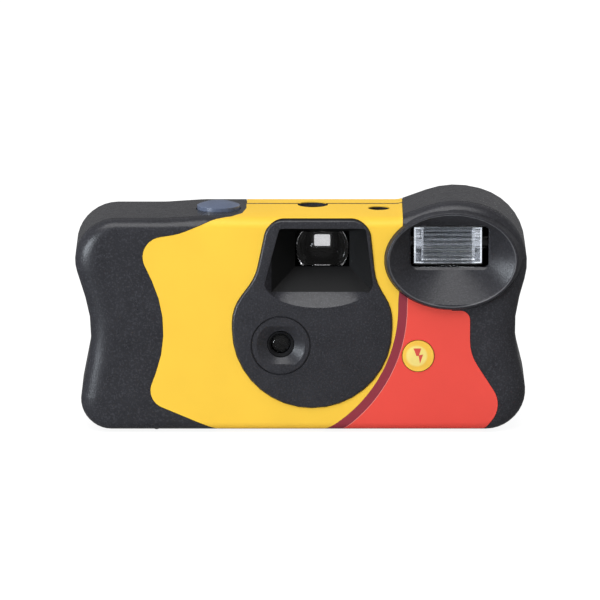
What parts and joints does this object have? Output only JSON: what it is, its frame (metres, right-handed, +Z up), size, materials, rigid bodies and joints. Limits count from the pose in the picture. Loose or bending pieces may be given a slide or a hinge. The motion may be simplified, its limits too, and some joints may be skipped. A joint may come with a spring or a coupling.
{
  "type": "disposable film camera",
  "caption": "Compact single-use 35 mm film camera with waisted side grips, wrapped label, direct finder, fixed lens, dished flash, thumbwheel winding and a hinged film door in the base.",
  "frame": {"origin": "middle of the bounding box in plan, at the bottom of the nub under the film door", "axes": "+X to the right seen from the front, towards the flash; +Y from the lens to the back; +Z up"},
  "size_m": [0.1193, 0.033, 0.0618],
  "materials": {
    "black_shell": "fine grained black moulding",
    "printed_label": "printed film label",
    "inner_black": "matt black moulding",
    "cartridge_print": "lacquered tinplate",
    "film": "film base with emulsion",
    "pale_plastic": "moulded acetal",
    "slate_button": "slate grey moulding",
    "flash_key": "printed key",
    "spring_steel": "bright steel",
    "black_steel": "blackened steel",
    "clear_plastic": "clear moulding",
    "contact_brass": "bright brass",
    "board": "coated laminate",
    "component_sleeve": "shrink sleeve",
    "copper_winding": "lacquered copper wire",
    "cell_wrap": "printed can",
    "mirror_trough": "bright aluminium",
    "amber_lamp": "tinted clear moulding"
  },
  "bodies": {
    "camera": {"front_cover": "black_shell", "rear_cover": "black_shell", "front_label": "printed_label", "rear_label": "printed_label", "main_frame": "inner_black", "cartridge_can": "cartridge_print", "cartridge_end_caps": "spring_steel", "film_strip": "film", "keeper_plate": "inner_black", "button_spring": "spring_steel", "striker_spring": "spring_steel", "blade_spring": "spring_steel", "aperture_plate": "inner_black", "taking_lens": "clear_plastic", "lens_retainer": "inner_black", "finder_front_lens": "clear_plastic", "finder_eyepiece": "clear_plastic", "sync_contacts": "contact_brass", "flash_switch_leaf": "contact_brass", "flash_circuit_board": "board", "flash_capacitor": "component_sleeve", "flash_transformer": "copper_winding", "trigger_coil": "copper_winding", "circuit_components": "component_sleeve", "battery": "cell_wrap", "battery_contacts": "contact_brass", "flash_lens": "clear_plastic", "flash_reflector": "mirror_trough", "flash_tube": "clear_plastic", "ready_lamp": "amber_lamp", "ready_light_pipe": "amber_lamp"},
    "film_door": {"film_door": "black_shell"},
    "shutter_button": {"shutter_button": "slate_button"},
    "release_lever": {"release_lever": "pale_plastic"},
    "striker": {"striker_lever": "pale_plastic"},
    "blade": {"shutter_blade": "black_steel"},
    "winder": {"thumbwheel": "inner_black", "cartridge_spool": "inner_black"},
    "sprocket": {"sprocket_wheel": "pale_plastic"},
    "supply_reel": {"film_supply_roll": "film", "supply_core": "pale_plastic"},
    "counter": {"counter_dial": "pale_plastic"},
    "flash_button": {"flash_button": "flash_key"}
  },
  "joints": [
    {"name": "shutter_press", "type": "slide", "parent": "camera", "child": "shutter_button", "axis": [0, 0, -1], "range_m": [0, 0.0013], "stiffness_N_per_m": 800, "deforming": ["button_spring"]},
    {"name": "release_rock", "type": "hinge", "parent": "camera", "child": "release_lever", "pos_m": [-0.0152, -0.0003, 0.0483], "axis": [0, -1, 0], "range_deg": [0, 13.5]},
    {"name": "striker_swing", "type": "hinge", "parent": "camera", "child": "striker", "pos_m": [-0.0105, -0.0039, 0.0459], "axis": [0, 0, 1], "range_deg": [0, 24]},
    {"name": "blade_swing", "type": "hinge", "parent": "camera", "child": "blade", "pos_m": [-0.013, -0.00975, 0.0366], "axis": [0, 1, 0], "range_deg": [0, 20.5]},
    {"name": "thumbwheel_turn", "type": "hinge", "parent": "camera", "child": "winder", "pos_m": [-0.0397, 0.001, 0.0526], "axis": [0, 0, 1], "continuous": true},
    {"name": "sprocket_turn", "type": "hinge", "parent": "camera", "child": "sprocket", "pos_m": [-0.017, 0.0051, 0.0416], "axis": [0, 0, 1], "continuous": true},
    {"name": "supply_turn", "type": "hinge", "parent": "camera", "child": "supply_reel", "pos_m": [0.0295, 0.0034, 0.0256], "axis": [0, 0, 1], "continuous": true},
    {"name": "counter_turn", "type": "hinge", "parent": "camera", "child": "counter", "pos_m": [-0.0045, 0.0025, 0.0551], "axis": [0, 0, 1], "continuous": true},
    {"name": "flash_press", "type": "slide", "parent": "camera", "child": "flash_button", "axis": [0, 1, 0], "range_m": [0, 0.0006], "stiffness_N_per_m": 1500},
    {"name": "film_door_hinge", "type": "hinge", "parent": "camera", "child": "film_door", "pos_m": [-0.02715, 0.0007, 0.00125], "axis": [0, -1, 0], "range_deg": [0, 95]}
  ],
  "couplings": [
    {"joint": "release_rock", "follows": "shutter_press", "rad_per_m": 178},
    {"joint": "blade_swing", "follows": "striker_swing", "ratio": 0.842},
    {"joint": "sprocket_turn", "follows": "thumbwheel_turn", "ratio": 0.9425},
    {"joint": "supply_turn", "follows": "thumbwheel_turn", "ratio": 0.6628},
    {"joint": "counter_turn", "follows": "thumbwheel_turn", "ratio": -0.02618}
  ]
}
